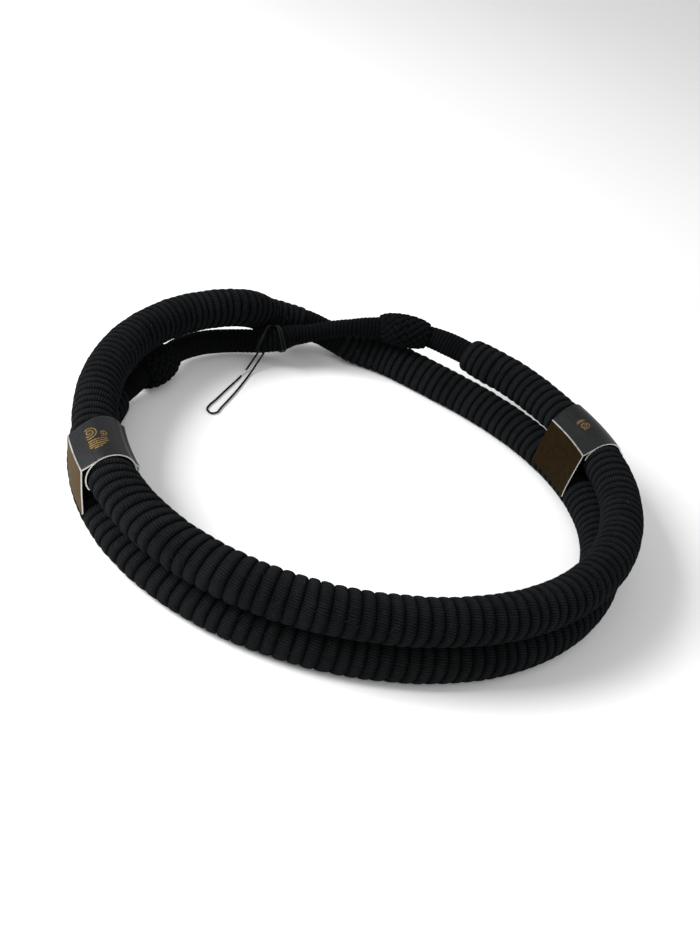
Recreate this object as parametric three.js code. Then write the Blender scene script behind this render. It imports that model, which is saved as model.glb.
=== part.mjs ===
// A head cord: one closed rope loop, doubled into two rings that lie one on the other.
// The rope is thick and ribbed most of the way round. At the back the two rings cross:
// the upper ring narrows into a waist and goes down into the lower ring, and a thin,
// finely wound link comes up across it from the lower ring to the upper one. A braided
// knot sits at each end of the link, and two card labels hang over the upper ring.
// Millimetres, +Z up. Angles are seen from above: 0 is +X, 90 is the back (+Y).
import * as THREE from 'three';

// Driving sizes of the rope.
const ringRadius = 88;        // middle of the ring to the middle of the rope
const ropeDiameter = 14.3;    // thick rope, across its ribs
const ribPitch = 3.62;        // from one coarse rib to the next
const grooveDepth = 0.58;     // how far the winding dips between two ribs
const linkDiameter = 8.5;     // finely wound link between the knots, at the left
const linkThinDiameter = 6.7; // the link at the right, past the crossing
const waistDiameter = 11.0;   // narrowest place of the rope, behind the link
const waistEndDiameter = 12.1; // where the waist meets the ribbed rope
const neckDiameter = 9.4;     // finely wound neck between a knot and the thick rope
const ropeMouth = 11.6;       // end of the thick rope at a neck
const neckShoulder = 2.4;     // length over which the rope swells to its full size at a neck
const waistShoulder = 8;      // the same at the waist
const pieceGap = 0.3;         // between the end faces of neighbouring pieces

// Knots: braided balls, drawn out along the rope.
const knotDiameter = 12.8;
const knotLength = 18.8;
const knotMouth = 0.66;       // share of the knot's diameter that is left at its ends
const braidRelief = 0.45;     // height of the braid over the ball
const braidStrands = 5;       // bulges once round the knot
const braidRows = 4;          // bulges from one end of the knot to the other

// Labels: a card sleeve round the upper rope, with a flap at each side.
const cardThickness = 1.0;
const sleeveLength = 22;
const sleeveClearance = 0.35; // between the rope's ribs and the card
const sleeveLip = 38;         // degrees that each end of the card curls under the rope
const flapClearance = 0.35;   // between the flap and what lies behind it
const flapTop = 2.5;          // height of the flap's fold over the middle of the upper rope
const flapBottom = 7.3;       // height of the flap's lower edge over the table

// The thread: tied round the link, with both strands lying on the table inside the ring.
const threadDiameter = 0.7;
const hitchWidth = 2.4;
const hitchClearance = 0.2;

// Facets.
const ropeSides = 8;
const fineSides = 10;
const knotSides = 16;
const knotSections = 15;
const threadSides = 8;
const smoothSpacing = 4.5;    // between two sections of a smooth piece
const sleeveSections = 7;
const sleeveSteps = 12;
const loopSamples = 6000;

// Where the pieces meet, as the turn in degrees along the loop. It starts at 72 on the
// upper ring and runs clockwise, so it comes down to 72 - 720 after two rounds.
const turns = {
  start: 72,
  waistStart: -248,
  waistEnd: -257,
  lowerEnd: -543,
  knotLeft: -560.7,
  knotRight: -631.6,
  labelRight: 31.2,
  labelLeft: -145,
  hitch: -599.2,
};

// The loop's route. A row is the turn, the distance from the middle as a share of
// ringRadius, and the height over the table as a share of ropeDiameter.
const low = 0.447;
const high = 1.465;
const route = [
  [72, 1.038, 1.475], [65, 1.024, 1.50], [58, 1.024, 1.52], [46, 1.027, 1.49],
  [30, 1.040, high], [15, 1.039, high], [0, 1.024, high], [-15, 1.006, high],
  [-30, 0.990, high], [-45, 0.976, high], [-60, 0.968, high], [-75, 0.972, high],
  [-90, 0.988, high], [-105, 1.008, high], [-120, 1.020, high], [-135, 1.016, high],
  [-150, 1.003, high], [-165, 0.993, high], [-180, 0.996, high], [-195, 1.008, high],
  [-210, 1.020, high], [-222, 1.018, high], [-228, 1.017, 1.43], [-233, 1.044, 1.26],
  [-238, 1.074, 0.98], [-242, 1.079, 0.88], [-245, 1.080, 0.825], [-248, 1.077, 0.77],
  [-251, 1.070, 0.71], [-255, 1.063, 0.60], [-259, 1.057, 0.50], [-263, 1.051, low],
  [-269, 1.038, low], [-275, 1.012, low], [-283, 0.986, low], [-298, 0.976, low],
  [-313, 0.985, low], [-328, 1.001, low], [-343, 1.010, low], [-358, 1.008, low],
  [-374, 0.998, low], [-389, 0.986, low], [-405, 0.976, low], [-420, 0.967, low],
  [-436, 0.964, low], [-451, 0.972, low], [-467, 0.986, low], [-482, 0.999, low],
  [-497, 1.004, low], [-512, 0.996, low], [-527, 0.986, low], [-538, 0.975, low],
  [-545, 0.966, 0.46], [-553, 0.955, 0.50], [-560.7, 0.950, 0.52], [-568, 0.985, 0.50],
  [-574, 1.010, 0.47], [-581, 1.016, 0.46], [-589, 1.000, 0.47], [-593, 0.967, 0.565],
  [-595.5, 0.943, 0.665], [-599.4, 0.936, 0.755], [-602.7, 0.950, 0.832], [-606, 0.952, 0.90],
  [-608.6, 0.953, 0.986], [-611.2, 0.960, 1.063], [-615.1, 0.969, 1.18], [-618.4, 0.974, 1.266],
  [-621.2, 0.984, 1.32], [-624.3, 0.993, 1.378], [-627.5, 1.000, 1.44], [-631.6, 1.005, 1.49],
  [-638, 1.040, 1.475], [-643.5, 1.045, 1.47],
];

// The thread's own route, in millimetres from the middle of the ring, out and back.
const threadRoute = [
  [-48.3, 64.4, 6.0], [-49.5, 60.6, 2.8], [-50.4, 57, 0.9], [-51.2, 52, 0.5],
  [-53.4, 41, 0.5], [-55.2, 31.5, 0.5], [-56.4, 26, 0.5], [-56.3, 23.2, 0.5],
  [-54.4, 21.7, 0.5], [-52.7, 23.4, 0.5], [-52.2, 27, 0.5], [-51.2, 33, 0.5],
  [-49.9, 42, 0.5], [-48.8, 52, 0.5], [-48.2, 57.2, 0.9], [-47.4, 60.9, 2.8],
  [-46.2, 64.8, 6.0],
];

const wool = { color: 0x14151a, roughness: 0.95, metalness: 0 };
const fineWool = { color: 0x191a20, roughness: 0.9, metalness: 0 };
const blackCard = { color: 0x0d0d0f, roughness: 0.45, metalness: 0 };
const brownCard = { color: 0x4a3722, roughness: 0.6, metalness: 0 };
const thread = { color: 0x101014, roughness: 0.85, metalness: 0 };

const radians = THREE.MathUtils.degToRad;

// The loop as one closed curve, and its length up to any turn.
const loop = new THREE.CatmullRomCurve3(
  route.map(([turn, out, up]) => new THREE.Vector3(
    ringRadius * out * Math.cos(radians(turn)),
    ringRadius * out * Math.sin(radians(turn)),
    ropeDiameter * up,
  )), true, 'centripetal');
loop.arcLengthDivisions = loopSamples;
const loopLength = loop.getLength();

function turnTable() {
  const table = [turns.start];
  let last = loop.getPointAt(0);
  for (let i = 1; i <= loopSamples; i += 1) {
    const point = loop.getPointAt(i / loopSamples);
    const step = Math.atan2(last.x * point.y - last.y * point.x, last.x * point.x + last.y * point.y);
    table.push(table[i - 1] + THREE.MathUtils.radToDeg(step));
    last = point;
  }
  return table;
}

const turnAtSample = turnTable();

function lengthAtTurn(turn) {
  const after = Math.max(1, turnAtSample.findIndex((value) => value <= turn));
  const share = (turnAtSample[after - 1] - turn) / (turnAtSample[after - 1] - turnAtSample[after]);
  return (after - 1 + share) / loopSamples * loopLength;
}

// The frame of a cross-section: outward from the ring, up, and along the rope.
function frameAt(length) {
  const u = THREE.MathUtils.clamp(length / loopLength, 0, 1);
  const along = loop.getTangentAt(u);
  const outward = new THREE.Vector3(0, 0, 1).cross(along).normalize();
  const up = along.clone().cross(outward).normalize();
  return { middle: loop.getPointAt(u), along, outward, up };
}

function place(frame, across, rise) {
  return frame.middle.clone().addScaledVector(frame.outward, across).addScaledVector(frame.up, rise);
}

// A closed solid from sections with the same number of corners, listed counterclockwise
// when seen from the far end. Both ends are filled flat.
function solidFromSections(sections, outline) {
  const corners = outline.length;
  const positions = sections.flat().flatMap((point) => [point.x, point.y, point.z]);
  const faces = [];
  for (let i = 0; i < sections.length - 1; i += 1) {
    for (let j = 0; j < corners; j += 1) {
      const here = i * corners + j;
      const beside = i * corners + (j + 1) % corners;
      faces.push(here, beside, beside + corners, here, beside + corners, here + corners);
    }
  }
  const farEnd = (sections.length - 1) * corners;
  for (const [a, b, c] of THREE.ShapeUtils.triangulateShape(outline, [])) {
    const area = outline[b].clone().sub(outline[a]).cross(outline[c].clone().sub(outline[a]));
    const [p, q] = area > 0 ? [b, c] : [c, b];
    faces.push(a, q, p, farEnd + a, farEnd + p, farEnd + q);
  }
  const geometry = new THREE.BufferGeometry();
  geometry.setAttribute('position', new THREE.Float32BufferAttribute(positions, 3));
  geometry.setIndex(faces);
  geometry.computeVertexNormals();
  return geometry;
}

// Corner radius of a regular polygon with the area of a circle.
const cornerRadius = (radius, sides) =>
  radius * Math.sqrt(2 * Math.PI / (sides * Math.sin(2 * Math.PI / sides)));

function polygon(sides) {
  return Array.from({ length: sides }, (_, j) => {
    const angle = 2 * Math.PI * (j + 0.5) / sides;
    return new THREE.Vector2(Math.cos(angle), Math.sin(angle));
  });
}

// A round piece of the loop. radiusAt gets the length along the loop, the share of the
// piece, and the angle round the section. The rope is pressed flat where it meets the table.
function ropePiece({ from, to, sections, sides, radiusAt }) {
  const outline = polygon(sides);
  const rings = Array.from({ length: sections }, (_, i) => {
    const share = i / (sections - 1);
    const length = from + (to - from) * share;
    const frame = frameAt(length);
    return outline.map((corner) => {
      const radius = cornerRadius(radiusAt(length, share, corner.angle()), sides);
      const point = place(frame, corner.x * radius, corner.y * radius);
      point.z = Math.max(point.z, 0);
      return point;
    });
  });
  return solidFromSections(rings, outline);
}

// Thick rope: one crest and one groove for each rib. Each end is given by its diameter
// and by the length over which it swells to the full size.
function ribbedRope(fromLength, toLength, startEnd, farEnd) {
  const from = fromLength + pieceGap / 2;
  const to = toLength - pieceGap / 2;
  const sections = 2 * Math.round((to - from) / ribPitch) + 1;
  const narrowing = (distance, end) =>
    (ropeDiameter - end.diameter) / 2 * Math.exp(-distance / end.shoulder);
  return ropePiece({
    from, to, sections, sides: ropeSides,
    radiusAt: (length, share) => {
      const isGroove = Math.round(share * (sections - 1)) % 2 === 0;
      return ropeDiameter / 2 - (isGroove ? grooveDepth : 0)
        - narrowing(length - from, startEnd) - narrowing(to - length, farEnd);
    },
  });
}

// Finely wound piece, smooth here. diameters are spread evenly over its length.
function finePiece(from, to, diameters) {
  const length = to - from - pieceGap;
  return ropePiece({
    from: from + pieceGap / 2, to: to - pieceGap / 2,
    sections: Math.max(5, Math.round(length / smoothSpacing) + 1), sides: fineSides,
    radiusAt: (_, share) => {
      const place = share * (diameters.length - 1);
      const before = Math.min(Math.floor(place), diameters.length - 2);
      return THREE.MathUtils.lerp(diameters[before], diameters[before + 1], place - before) / 2;
    },
  });
}

// Braided knot: a long ball with bulges where the strands cross.
function knot(middle) {
  return ropePiece({
    from: middle - knotLength / 2 + pieceGap / 2, to: middle + knotLength / 2 - pieceGap / 2,
    sections: knotSections, sides: knotSides,
    radiusAt: (_, share, angle) => {
      const swell = knotMouth + (1 - knotMouth) * Math.sqrt(Math.sin(Math.PI * share));
      const inside = Math.sin(Math.PI * share);
      const braid = Math.cos(braidStrands * angle) * Math.cos(braidRows * Math.PI * share);
      return (knotDiameter / 2 - braidRelief) * swell + braidRelief * inside * braid;
    },
  });
}

// A card piece: one outline, in millimetres outward and up, swept along the sleeve's length.
function cardPiece(middleTurn, outline) {
  const middle = lengthAtTurn(middleTurn);
  const sections = Array.from({ length: sleeveSections }, (_, i) => {
    const frame = frameAt(middle + sleeveLength * (i / (sleeveSections - 1) - 0.5));
    return outline.map((corner) => place(frame, corner.x, corner.y));
  });
  return solidFromSections(sections, outline);
}

// Card sleeve: a strip bent round the upper rope, open underneath.
const sleeveInside = cornerRadius(ropeDiameter / 2, ropeSides) + sleeveClearance;

function sleeve(middleTurn) {
  const angles = Array.from({ length: sleeveSteps + 1 }, (_, i) =>
    radians(-sleeveLip + (180 + 2 * sleeveLip) * i / sleeveSteps));
  const arc = (radius) => angles.map((angle) =>
    new THREE.Vector2(radius * Math.cos(angle), radius * Math.sin(angle)));
  return cardPiece(middleTurn, [...arc(sleeveInside + cardThickness), ...arc(sleeveInside).reverse()]);
}

// Flap beside the sleeve. It hangs from the fold, along the line that touches the sleeve
// above and the lower rope below. side is 1 outside the ring and -1 inside it.
function flap(middleTurn, side) {
  const upper = frameAt(lengthAtTurn(middleTurn));
  const lower = frameAt(lengthAtTurn(middleTurn - 360));
  const across = lower.middle.clone().sub(upper.middle).dot(upper.outward) * side;
  const down = upper.middle.z - lower.middle.z;
  const reach = sleeveInside + cardThickness + flapClearance;
  const lowerReach = cornerRadius(ropeDiameter / 2, ropeSides) + flapClearance;
  const tilt = Math.atan2(across, down) - Math.asin((reach - lowerReach) / Math.hypot(across, down));
  const alongFlap = (height) => (height - reach * Math.sin(tilt)) / Math.cos(tilt);
  const bottom = alongFlap(flapBottom - upper.middle.z);
  const top = alongFlap(flapTop);
  const corners = [[reach, bottom], [reach + cardThickness, bottom], [reach + cardThickness, top], [reach, top]];
  const outline = corners.map(([x, y]) => {
    const corner = new THREE.Vector2(x, y).rotateAround(new THREE.Vector2(), tilt);
    return new THREE.Vector2(corner.x * side, corner.y);
  });
  return cardPiece(middleTurn, side > 0 ? outline : outline.reverse());
}

// The thread as one long strand that turns back at its far end.
function threadTube() {
  const path = new THREE.CatmullRomCurve3(threadRoute.map((point) => new THREE.Vector3(...point)));
  const shape = new THREE.Shape(polygon(threadSides).map((corner) =>
    corner.multiplyScalar(cornerRadius(threadDiameter / 2, threadSides))));
  return new THREE.ExtrudeGeometry(shape, { steps: 60, extrudePath: path });
}

// The hitch: a flat ring of thread round the link.
function hitchRing() {
  const inner = cornerRadius(linkDiameter / 2, fineSides) + hitchClearance;
  const outer = inner + threadDiameter;
  const half = hitchWidth / 2;
  const profile = [[inner, -half], [outer, -half], [outer, half], [inner, half], [inner, -half]];
  const ring = new THREE.Mesh(new THREE.LatheGeometry(profile.map(([r, y]) => new THREE.Vector2(r, y)), 20));
  const frame = frameAt(lengthAtTurn(turns.hitch));
  ring.quaternion.setFromUnitVectors(new THREE.Vector3(0, 1, 0), frame.along);
  ring.position.copy(frame.middle);
  return ring;
}

// Assembly.
const headCord = new THREE.Group();

function add(name, shape, look) {
  const mesh = shape.isMesh ? shape : new THREE.Mesh(shape);
  mesh.name = name;
  mesh.material = new THREE.MeshStandardMaterial(look);
  headCord.add(mesh);
  return mesh;
}

const waistStart = lengthAtTurn(turns.waistStart);
const waistEnd = lengthAtTurn(turns.waistEnd);
const lowerEnd = lengthAtTurn(turns.lowerEnd);
const knotLeft = lengthAtTurn(turns.knotLeft);
const knotRight = lengthAtTurn(turns.knotRight);
const knotEnd = knotDiameter * knotMouth;
const atNeck = { diameter: ropeMouth, shoulder: neckShoulder };
const atWaist = { diameter: waistEndDiameter, shoulder: waistShoulder };

add('rope_upper', ribbedRope(0, waistStart, atNeck, atWaist), wool);
add('waist', finePiece(waistStart, waistEnd, [waistEndDiameter, waistDiameter, waistEndDiameter]), fineWool);
add('rope_lower', ribbedRope(waistEnd, lowerEnd, atWaist, atNeck), wool);
add('neck_left', finePiece(lowerEnd, knotLeft - knotLength / 2, [neckDiameter, neckDiameter, knotEnd]), fineWool);
add('knot_left', knot(knotLeft), fineWool);
add('link', finePiece(knotLeft + knotLength / 2, knotRight - knotLength / 2,
  [knotEnd, linkDiameter, linkDiameter, linkDiameter, linkDiameter, linkThinDiameter, linkThinDiameter, knotEnd]), fineWool);
add('knot_right', knot(knotRight), fineWool);
add('neck_right', finePiece(knotRight + knotLength / 2, loopLength, [knotEnd, neckDiameter, neckDiameter]), fineWool);
for (const [name, turn] of [['label_right', turns.labelRight], ['label_left', turns.labelLeft]]) {
  add(`${name}_sleeve`, sleeve(turn), blackCard);
  add(`${name}_flap_outer`, flap(turn, 1), brownCard);
  add(`${name}_flap_inner`, flap(turn, -1), brownCard);
}
add('thread_hitch', hitchRing(), thread);

// The origin is the middle of the underside of the part, measured without the loose thread.
headCord.updateMatrixWorld(true);
const bounds = new THREE.Box3().setFromObject(headCord, true);
const middle = bounds.getCenter(new THREE.Vector3());
headCord.position.set(-middle.x, -middle.y, -bounds.min.z);
add('hang_thread', threadTube(), thread);

export default headCord;
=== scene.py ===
# %% [markdown]
# # Dressing a head cord
# The real thing is one closed rope that is laid double, so that two rings rest on each other.
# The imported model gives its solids, and this lesson dresses them: wound ropes, braided
# knots, folded card labels and a loop of thread. Everything is in metres, in the model's frame.

# %% Load the frame
import math

import bpy
import numpy as np
from mathutils import Matrix, Vector


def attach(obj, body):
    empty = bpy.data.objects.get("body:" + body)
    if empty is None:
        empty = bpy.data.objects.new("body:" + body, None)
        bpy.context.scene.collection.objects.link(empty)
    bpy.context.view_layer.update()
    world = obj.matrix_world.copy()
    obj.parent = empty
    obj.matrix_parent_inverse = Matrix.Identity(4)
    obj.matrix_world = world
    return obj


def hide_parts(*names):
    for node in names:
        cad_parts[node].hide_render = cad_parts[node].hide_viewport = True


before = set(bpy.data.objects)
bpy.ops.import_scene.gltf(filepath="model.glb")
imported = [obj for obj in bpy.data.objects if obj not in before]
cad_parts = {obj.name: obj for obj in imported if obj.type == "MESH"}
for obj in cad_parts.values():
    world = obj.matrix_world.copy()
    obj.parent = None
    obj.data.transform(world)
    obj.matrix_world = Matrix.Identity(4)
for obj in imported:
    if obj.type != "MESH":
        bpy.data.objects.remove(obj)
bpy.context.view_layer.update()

MM = 0.001
print("nodes:", sorted(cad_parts))

# %% [markdown]
# The camera comes first, because every later choice is judged through it. It looks down
# at the ring from in front and leans to one side. One way is to track an empty, but a
# matrix from three directions is exact: they follow from a pitch and a roll in degrees.

# %% Camera
CAMERA_LENS = 47.08
CAMERA_PITCH = math.radians(33.08)
CAMERA_ROLL = math.radians(17.57)
CAMERA_PLACE = Vector((-0.0029, -0.3458, 0.2346))

level_right = Vector((1, 0, 0))
level_up = Vector((0, math.sin(CAMERA_PITCH), math.cos(CAMERA_PITCH)))
looking = Vector((0, math.cos(CAMERA_PITCH), -math.sin(CAMERA_PITCH)))
rightward = level_right * math.cos(CAMERA_ROLL) + level_up * math.sin(CAMERA_ROLL)
upward = level_up * math.cos(CAMERA_ROLL) - level_right * math.sin(CAMERA_ROLL)

camera_data = bpy.data.cameras.new("camera")
camera_data.lens = CAMERA_LENS
camera_data.clip_start = 0.01
camera = bpy.data.objects.new("camera", camera_data)
camera.matrix_world = Matrix((rightward, upward, -looking)).transposed().to_4x4()
camera.matrix_world.translation = CAMERA_PLACE
bpy.context.scene.collection.objects.link(camera)
bpy.context.scene.camera = camera
print("camera at", [round(x, 4) for x in CAMERA_PLACE])

# %% [markdown]
# All of the rope follows one closed line. It could be drawn as a Blender curve, but the
# windings need to know where they are along it, so lines are worked out with numpy. The
# smoothing weighs each step by how far apart its points stand, which leaves no overshoot
# where they stand close.

# %% Smooth lines
def unit(v):
    """The same directions with a length of one."""
    return v / np.linalg.norm(v, axis=-1, keepdims=True)


def length_along(line):
    """The distance from a line's first point to each of its points, measured along it."""
    steps = np.linalg.norm(np.diff(line, axis=0), axis=1)
    return np.concatenate(([0], np.cumsum(steps)))


def smooth_line(points, closed, steps):
    """A centripetal Catmull-Rom line through the points, in that many steps from each to the next."""
    if closed:
        ringed = np.vstack((points[-1], points, points[:2]))
    else:
        ringed = np.vstack((2 * points[0] - points[1], points, 2 * points[-1] - points[-2]))
    share = np.linspace(0, 1, steps, endpoint=False)[:, None]
    square = share ** 2
    cube = share ** 3
    line = []
    for a, b, c, d in zip(ringed, ringed[1:], ringed[2:], ringed[3:]):
        before, here, after = (math.sqrt(np.linalg.norm(q - p)) for p, q in ((a, b), (b, c), (c, d)))
        leave = ((b - a) / before - (c - a) / (before + here) + (c - b) / here) * here
        arrive = ((c - b) / here - (d - b) / (here + after) + (d - c) / after) * here
        line.append(b + leave * share + (3 * (c - b) - 2 * leave - arrive) * square
                    + (2 * (b - c) + leave + arrive) * cube)
    line.append(points[:1] if closed else points[-1:])
    return np.vstack(line)


bent = smooth_line(np.eye(3), False, 10)
print("a line through 3 points, smoothed:", len(bent), "points,", round(length_along(bent)[-1], 2), "long")

# %% [markdown]
# The route starts on the upper ring at the back, goes round over the front to the waist,
# round again on the table as the lower ring, and climbs back over the waist as the link.
# It could be traced by hand in the viewport, but rows of numbers can be nudged one at a
# time until the picture fits. Each row is the turn in degrees, the distance from the
# middle as a share of the ring's radius, and the height as a share of the rope's thickness.

# %% The rope's route
RING_RADIUS = 88 * MM
ROPE_DIAMETER = 14.3 * MM
MIDDLE_SHIFT = np.array([-1.288, -2.204, 0]) * MM
LOW = 0.447
HIGH = 1.465
ROUTE = [
    (72, 1.038, 1.475), (65, 1.024, 1.50), (58, 1.024, 1.52), (46, 1.027, 1.49),
    (30, 1.040, HIGH), (15, 1.039, HIGH), (0, 1.024, HIGH), (-15, 1.006, HIGH),
    (-30, 0.990, HIGH), (-45, 0.976, HIGH), (-60, 0.968, HIGH), (-75, 0.972, HIGH),
    (-90, 0.988, HIGH), (-105, 1.008, HIGH), (-120, 1.020, HIGH), (-135, 1.016, HIGH),
    (-150, 1.003, HIGH), (-165, 0.993, HIGH), (-180, 0.996, HIGH), (-195, 1.008, HIGH),
    (-210, 1.020, HIGH), (-222, 1.018, HIGH), (-228, 1.017, 1.43), (-233, 1.044, 1.26),
    (-238, 1.074, 0.98), (-242, 1.079, 0.88), (-245, 1.080, 0.825), (-248, 1.077, 0.77),
    (-251, 1.070, 0.71), (-255, 1.063, 0.60), (-259, 1.057, 0.50), (-263, 1.051, LOW),
    (-269, 1.038, LOW), (-275, 1.012, LOW), (-283, 0.986, LOW), (-298, 0.976, LOW),
    (-313, 0.985, LOW), (-328, 1.001, LOW), (-343, 1.010, LOW), (-358, 1.008, LOW),
    (-374, 0.998, LOW), (-389, 0.986, LOW), (-405, 0.976, LOW), (-420, 0.967, LOW),
    (-436, 0.964, LOW), (-451, 0.972, LOW), (-467, 0.986, LOW), (-482, 0.999, LOW),
    (-497, 1.004, LOW), (-512, 0.996, LOW), (-527, 0.986, LOW), (-538, 0.975, LOW),
    (-545, 0.966, 0.46), (-553, 0.955, 0.50), (-560.7, 0.950, 0.52), (-568, 0.985, 0.50),
    (-574, 1.010, 0.47), (-581, 1.016, 0.46), (-589, 1.000, 0.47), (-593, 0.967, 0.565),
    (-595.5, 0.943, 0.665), (-599.4, 0.936, 0.755), (-602.7, 0.950, 0.832), (-606, 0.952, 0.90),
    (-608.6, 0.953, 0.986), (-611.2, 0.960, 1.063), (-615.1, 0.969, 1.18), (-618.4, 0.974, 1.266),
    (-621.2, 0.984, 1.32), (-624.3, 0.993, 1.378), (-627.5, 1.000, 1.44), (-631.6, 1.005, 1.49),
    (-638, 1.040, 1.475), (-643.5, 1.045, 1.47),
]

turn, out, up = np.array(ROUTE).T
route_points = np.column_stack((
    RING_RADIUS * out * np.cos(np.radians(turn)),
    RING_RADIUS * out * np.sin(np.radians(turn)),
    ROPE_DIAMETER * up,
))
centred_loop = smooth_line(route_points, True, 80)
loop_length = length_along(centred_loop)
loop_turn = np.degrees(np.unwrap(np.arctan2(centred_loop[:, 1], centred_loop[:, 0])))
loop_line = centred_loop + MIDDLE_SHIFT
loop_direction = unit(np.gradient(loop_line, loop_length, axis=0))
print("rope from end to end of its loop:", round(loop_length[-1], 3), "m")

# %% [markdown]
# Every later piece is placed by how far along the rope it is and at which angle round it.
# A curve's own tilt would twist the pieces on the steep part behind, so the frame here is
# built from the vertical: one direction always points out of the ring.

# %% Places along the rope
VERTICAL = np.array([0.0, 0.0, 1.0])


def length_at(turn):
    """Distance along the loop to a turn in degrees."""
    return float(np.interp(-turn, -loop_turn, loop_length))


def frame_at(length):
    """Middle, and the directions outward, up and along, for any array of lengths."""
    length = np.mod(np.asarray(length, float), loop_length[-1])
    middle = np.stack([np.interp(length, loop_length, loop_line[:, i]) for i in range(3)], -1)
    along = unit(np.stack([np.interp(length, loop_length, loop_direction[:, i]) for i in range(3)], -1))
    outward = unit(np.cross(VERTICAL, along))
    return middle, outward, np.cross(along, outward), along


def on_rope(length, angle, radius):
    """A point at that angle and radius round the rope. 0 points outward and 90 degrees up."""
    middle, outward, up, _ = frame_at(length)
    across = (radius * np.cos(angle))[..., None]
    rise = (radius * np.sin(angle))[..., None]
    return middle + outward * across + up * rise


print("the first knot is at", [round(float(x), 4) for x in frame_at(length_at(-560.7))[0]])

# %% [markdown]
# Meshes are built here from grids of points, which keeps every piece exact and light. The
# wound and braided pieces carry their own UV map, named winding: u counts the fine threads
# round the piece and v goes once across each rib, so that a material can follow the winding.

# %% From a grid of points to a mesh
def mesh_object(name, points, quads, uv=None):
    """A mesh piece that rides on the body. uv holds two numbers for each corner of each face."""
    mesh = bpy.data.meshes.new(name)
    mesh.from_pydata(points.reshape(-1, 3).tolist(), [], quads.tolist())
    if uv is not None:
        layer = mesh.uv_layers.new(name="winding")
        layer.data.foreach_set("uv", uv.astype(np.float32).ravel())
    mesh.polygons.foreach_set("use_smooth", [True] * len(mesh.polygons))
    mesh.update()
    piece = bpy.data.objects.new(name, mesh)
    bpy.context.scene.collection.objects.link(piece)
    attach(piece, "root")
    return piece


def grid_quads(rows, columns, around=False, base=0):
    """Faces between the rows and columns of a grid, seen from outside."""
    i, j = np.meshgrid(np.arange(rows - 1), np.arange(columns if around else columns - 1), indexing="ij")
    k = (j + 1) % columns
    corners = (i * columns + j, i * columns + k, (i + 1) * columns + k, (i + 1) * columns + j)
    return base + np.stack(corners, -1).reshape(-1, 4)


def quads_of_grids(grids, around):
    """The faces of several grids that share one mesh, as one array for each grid."""
    quads = []
    base = 0
    for grid in grids:
        rows, columns, _ = grid.shape
        quads.append(grid_quads(rows, columns, around, base))
        base += rows * columns
    return quads


def corner_uv(corners):
    """UV pairs for every corner of every face, from the u and v of a face's four corners in turn."""
    return np.stack([np.stack(np.broadcast_arrays(u, v), -1) for u, v in corners], 2)


print("faces of a 4 by 5 grid:", len(grid_quads(4, 5)), "open,", len(grid_quads(4, 5, around=True)), "closed")

# %% [markdown]
# A thread is two thin strands twisted together. A curve with a round bevel would do from
# afar, but the strands show only when the section itself is oval and turns on its way, so
# a thread is a mesh whose rings of corners follow a line.

# %% Threads
THREAD_DIAMETER = 0.7 * MM
TUBE_SIDES = 8


def tube(name, line, radius, ply=0.1, twist=2600):
    """A thread along a line. ply is how far its strands stand out, twist their turn in radians a metre."""
    direction = unit(np.gradient(line, axis=0))
    across = [unit(np.cross(direction[0], [0.3, 0.2, 1.0]))]
    for here in direction[1:]:
        across.append(unit(across[-1] - here * np.dot(across[-1], here)))
    across = np.array(across)
    third = np.cross(direction, across)
    angle = np.arange(TUBE_SIDES) * 2 * math.pi / TUBE_SIDES
    turned = length_along(line)[:, None] * twist
    size = radius * (1 + ply * np.cos(2 * (angle[None, :] - turned)))
    points = (line[:, None] + across[:, None] * (size * np.cos(angle))[..., None]
              + third[:, None] * (size * np.sin(angle))[..., None])
    start_cap = np.array([(0, i + 2, i + 1, i) for i in range(1, TUBE_SIDES - 1, 2)])
    end_cap = (len(line) - 1) * TUBE_SIDES + start_cap[:, ::-1]
    quads = np.vstack((grid_quads(len(line), TUBE_SIDES, around=True), start_cap, end_cap))
    return mesh_object(name, points, quads)


print("a thread is", round(THREAD_DIAMETER / MM, 2), "mm thick")

# %% [markdown]
# The thread is a free cord. Both of its ends go back to the hitch on the link, and the
# middle lies on the table as a narrow loop. A simulation could drop it there, but how it
# lies is plain to see, so its points are given, the same as in the solid model. A short
# stretch of it just below the link is pale, and goes with it.

# %% The loop of thread
PALE_STRETCH_RADIUS = 0.4 * MM
THREAD_STEPS = 14
THREAD_ROUTE = np.array([
    (-48.3, 64.4, 6.0), (-49.5, 60.6, 2.8), (-50.4, 57, 0.9), (-51.2, 52, 0.5),
    (-53.4, 41, 0.5), (-55.2, 31.5, 0.5), (-56.4, 26, 0.5), (-56.3, 23.2, 0.5),
    (-54.4, 21.7, 0.5), (-52.7, 23.4, 0.5), (-52.2, 27, 0.5), (-51.2, 33, 0.5),
    (-49.9, 42, 0.5), (-48.8, 52, 0.5), (-48.2, 57.2, 0.9), (-47.4, 60.9, 2.8),
    (-46.2, 64.8, 6.0),
]) * MM + MIDDLE_SHIFT

thread_line = smooth_line(THREAD_ROUTE, False, THREAD_STEPS)
hang_thread = tube("loose_thread", thread_line, THREAD_DIAMETER / 2)
# A short stretch of the thread just below the link is drawn pale, as a slightly wider tube over it.
below_link_stretch = thread_line[2 * THREAD_STEPS:3 * THREAD_STEPS - 1]
pale_thread_stretch = tube("pale_thread_stretch", below_link_stretch, PALE_STRETCH_RADIUS, ply=0.2, twist=4000)
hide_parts("hang_thread")

# %% [markdown]
# Every finish here is a plain shader whose colour, roughness and small relief come from
# procedural noise. Image textures would need files and a flat layout of each piece, while
# noise in object coordinates fits any shape, so a few helpers for it serve all materials.

# %% Helpers for materials
def new_material(name, **settings):
    """An empty material with a Principled shader, and the values that are the same all over it."""
    material = bpy.data.materials.new(name)
    material.use_nodes = True
    shader = material.node_tree.nodes["Principled BSDF"]
    for key, value in settings.items():
        shader.inputs[key.replace("_", " ")].default_value = value
    return material, material.node_tree, shader


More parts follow.
